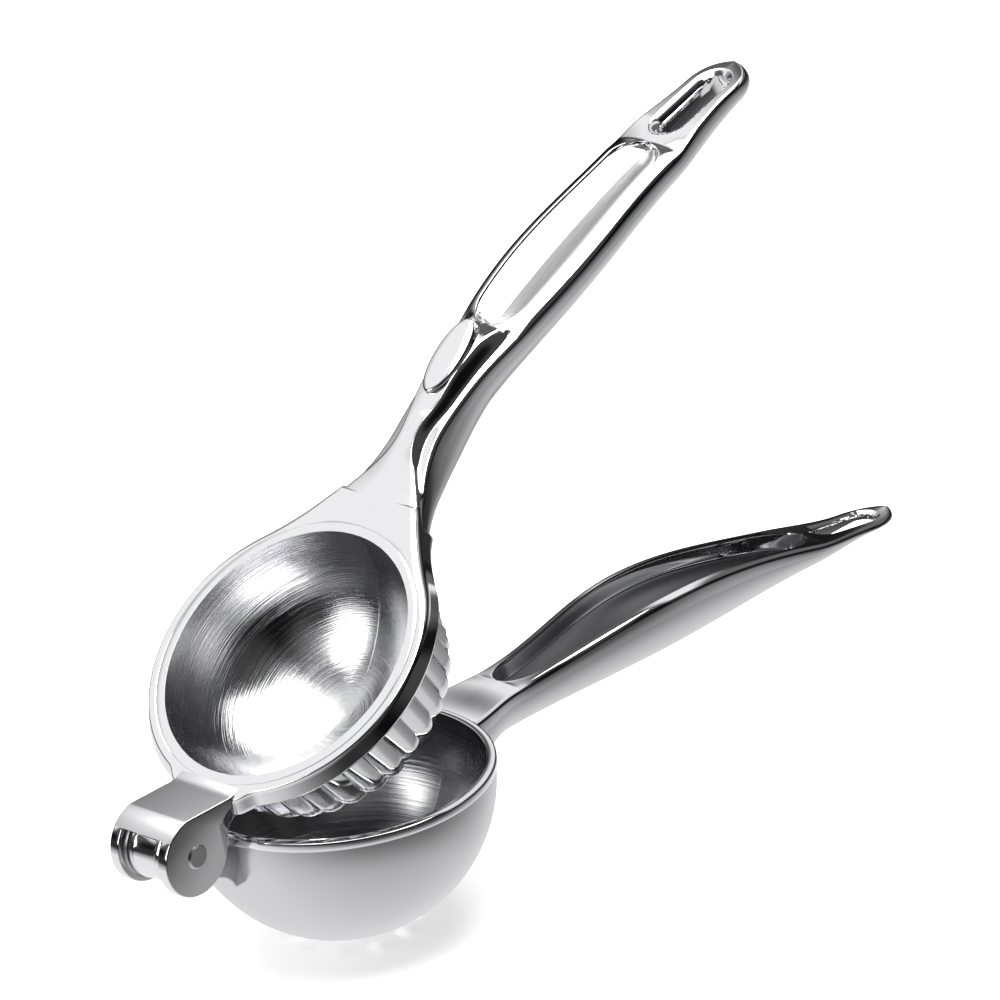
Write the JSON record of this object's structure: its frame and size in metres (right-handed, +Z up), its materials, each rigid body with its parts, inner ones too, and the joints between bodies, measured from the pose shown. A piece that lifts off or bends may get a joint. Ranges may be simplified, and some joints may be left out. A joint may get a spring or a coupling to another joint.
{
  "type": "hinged lemon squeezer",
  "caption": "Hand-held hinged citrus press: a round cup on one arm and a fluted press bowl on the other, joined by one hinge pin.",
  "frame": {"origin": "centre of the cup's rim", "axes": "+X along the lower handle, +Y along the hinge pin, +Z up out of the cup's mouth"},
  "size_m": [0.2608, 0.0788, 0.1644],
  "materials": {
    "cast_arm": "polished",
    "press_metal": "brushed",
    "inlay_metal": "satin",
    "badge_metal": "polished",
    "pin_metal": "turned",
    "washer_metal": "stamped"
  },
  "bodies": {
    "lower": {"lower_arm": "cast_arm"},
    "upper": {"upper_arm": "cast_arm", "press_dome": "press_metal", "inlay_strip": "inlay_metal", "oval_badge": "badge_metal", "hinge_pin": "pin_metal", "washer_near": "washer_metal", "washer_far": "washer_metal"}
  },
  "joints": [
    {"name": "arm_hinge", "type": "hinge", "parent": "lower", "child": "upper", "pos_m": [-0.0541, 0, 0.0031], "axis": [0, -1, 0], "range_deg": [-28, 80]}
  ]
}
